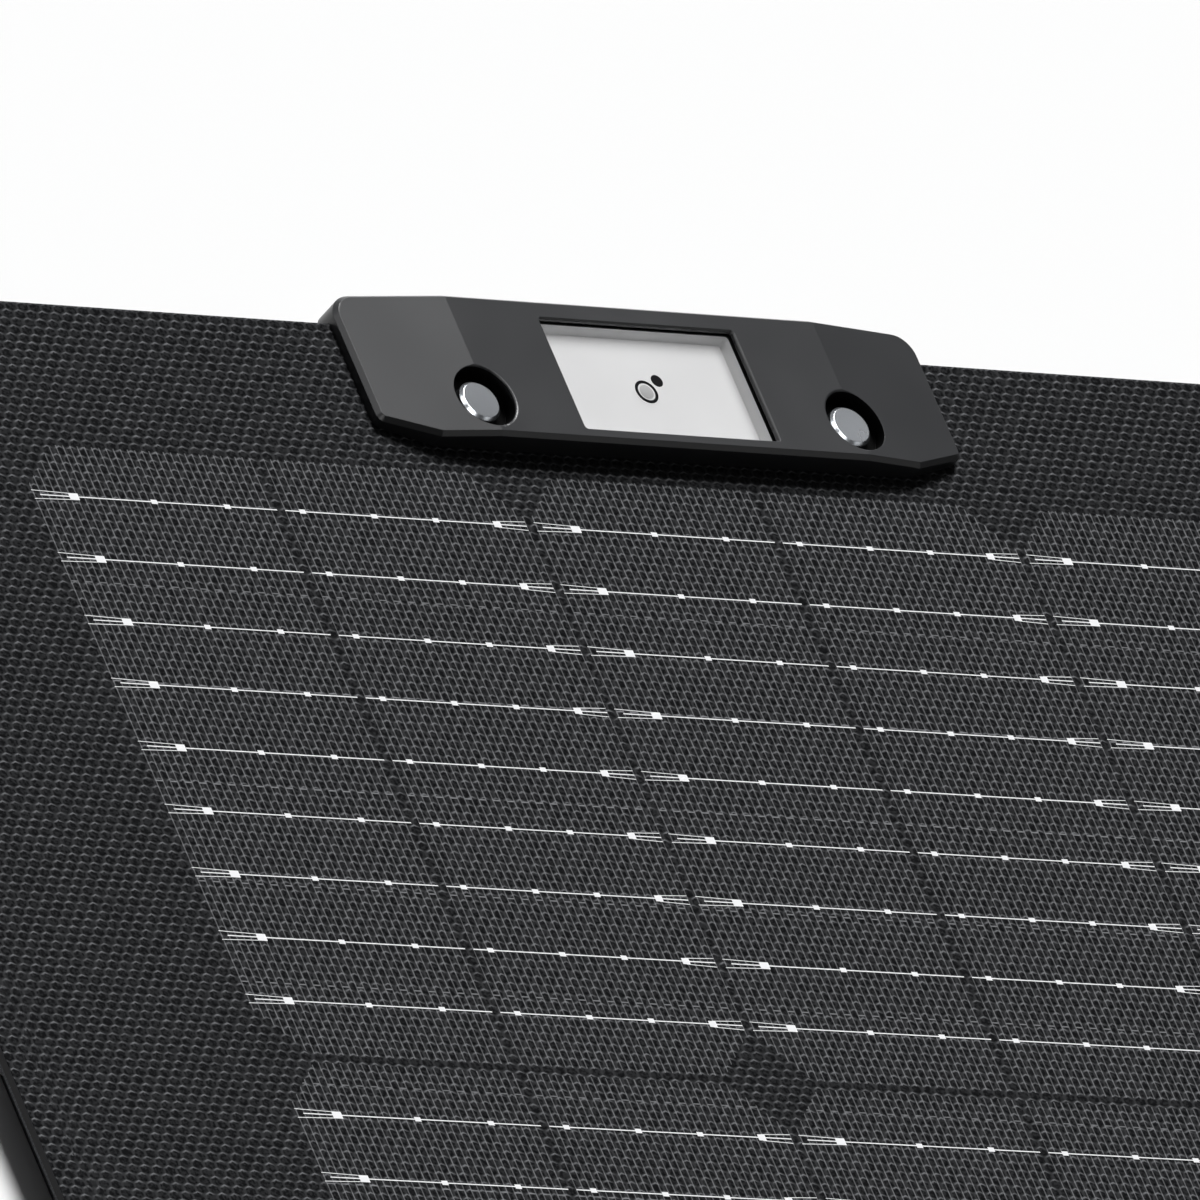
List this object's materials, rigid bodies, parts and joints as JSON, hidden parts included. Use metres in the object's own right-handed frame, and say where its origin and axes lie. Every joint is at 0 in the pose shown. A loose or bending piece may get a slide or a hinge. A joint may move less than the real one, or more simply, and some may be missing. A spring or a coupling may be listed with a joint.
{
  "type": "folding solar panel",
  "caption": "Folding flexible solar panel: leaves joined by a fabric spine, embossed front, sun-aiming dial with magnet latch, rear stands and junction box.",
  "frame": {"origin": "on the ground under the middle of the open panel", "axes": "+X along the busbars, +Y from the lower leaf to the upper one that carries the dial, +Z out of the cells' front"},
  "size_m": [0.706, 1.0996, 0.0245],
  "materials": {
    "front_film": "embossed clear film over black, satin",
    "encapsulant": "black encapsulant sheet",
    "silicon": "dark grey monocrystalline silicon under embossed film",
    "silver_print": "printed silver busbars",
    "tinned_ribbon": "tinned copper ribbon",
    "stiffener": "glass-filled stiffener board",
    "back_cloth": "dark grey coated woven polyester",
    "eyelet_metal": "nickel-plated brass",
    "housing": "satin dark grey moulded plastic",
    "tray_white": "matt white moulded plastic",
    "print_black": "black print",
    "print_grey": "light grey print",
    "gasket_rubber": "black rubber",
    "clear_window": "clear acrylic",
    "magnet_metal": "nickel-plated magnet",
    "screw_steel": "zinc-plated steel",
    "box_plastic": "black moulded plastic",
    "circuit_green": "green circuit board",
    "diode_black": "moulded component",
    "socket_metal": "nickel-plated brass",
    "hinge_metal": "black painted steel",
    "rivet_aluminium": "blind rivet",
    "stand_plastic": "stiff black plastic sheet",
    "rubber": "matt black rubber"
  },
  "bodies": {
    "upper_leaf": {"upper_front_film": "front_film", "upper_encapsulant": "encapsulant", "upper_cells": "silicon", "upper_busbars": "silver_print", "upper_bus_ribbons": "tinned_ribbon", "upper_board": "stiffener", "upper_corner_patches": "stiffener", "upper_back_cloth": "back_cloth", "upper_eyelets": "eyelet_metal", "upper_bumpers": "rubber", "upper_hinge_plates": "hinge_metal", "upper_hinge_rivets": "rivet_aluminium", "upper_hinge_pins": "screw_steel", "dial_housing": "housing", "dial_back_shell": "housing", "dial_tray": "tray_white", "dial_target_ring": "print_black", "dial_target_spot": "print_grey", "dial_gasket": "gasket_rubber", "dial_window": "clear_window", "dial_dot": "print_black", "dial_magnets": "magnet_metal", "dial_screws": "screw_steel", "box_base": "box_plastic", "box_cover": "box_plastic", "box_gasket": "gasket_rubber", "box_screws": "screw_steel", "box_circuit_board": "circuit_green", "box_diodes": "diode_black", "output_socket": "socket_metal"},
    "spine": {"spine_front_film": "front_film", "spine_board": "stiffener", "spine_ribbons": "tinned_ribbon", "spine_back_cloth": "back_cloth"},
    "lower_leaf": {"lower_front_film": "front_film", "lower_encapsulant": "encapsulant", "lower_cells": "silicon", "lower_busbars": "silver_print", "lower_bus_ribbons": "tinned_ribbon", "lower_board": "stiffener", "lower_corner_patches": "stiffener", "lower_back_cloth": "back_cloth", "lower_eyelets": "eyelet_metal", "lower_bumpers": "rubber", "lower_hinge_plates": "hinge_metal", "lower_hinge_rivets": "rivet_aluminium", "lower_hinge_pins": "screw_steel", "latch_housing": "housing", "latch_back_shell": "housing", "latch_strikers": "magnet_metal", "latch_screws": "screw_steel"},
    "upper_stand": {"upper_stand_knuckles": "hinge_metal", "upper_stand_board": "stand_plastic", "upper_stand_cover": "back_cloth", "upper_stand_foot": "rubber"},
    "lower_stand": {"lower_stand_knuckles": "hinge_metal", "lower_stand_board": "stand_plastic", "lower_stand_cover": "back_cloth", "lower_stand_foot": "rubber"}
  },
  "joints": [
    {"name": "upper_fold", "type": "hinge", "parent": "upper_leaf", "child": "spine", "pos_m": [0, 0.00985, 0.01265], "axis": [-1, 0, 0], "range_deg": [0, 90]},
    {"name": "lower_fold", "type": "hinge", "parent": "spine", "child": "lower_leaf", "pos_m": [0, -0.00985, 0.01265], "axis": [-1, 0, 0], "range_deg": [0, 90]},
    {"name": "upper_stand_swing", "type": "hinge", "parent": "upper_leaf", "child": "upper_stand", "pos_m": [0.14, 0.27695, 0.0071], "axis": [0, -1, 0], "range_deg": [0, 75]},
    {"name": "lower_stand_swing", "type": "hinge", "parent": "lower_leaf", "child": "lower_stand", "pos_m": [0.14, -0.27695, 0.0071], "axis": [0, -1, 0], "range_deg": [0, 75]}
  ],
  "couplings": [
    {"joint": "upper_fold", "follows": "lower_fold", "ratio": 1}
  ]
}
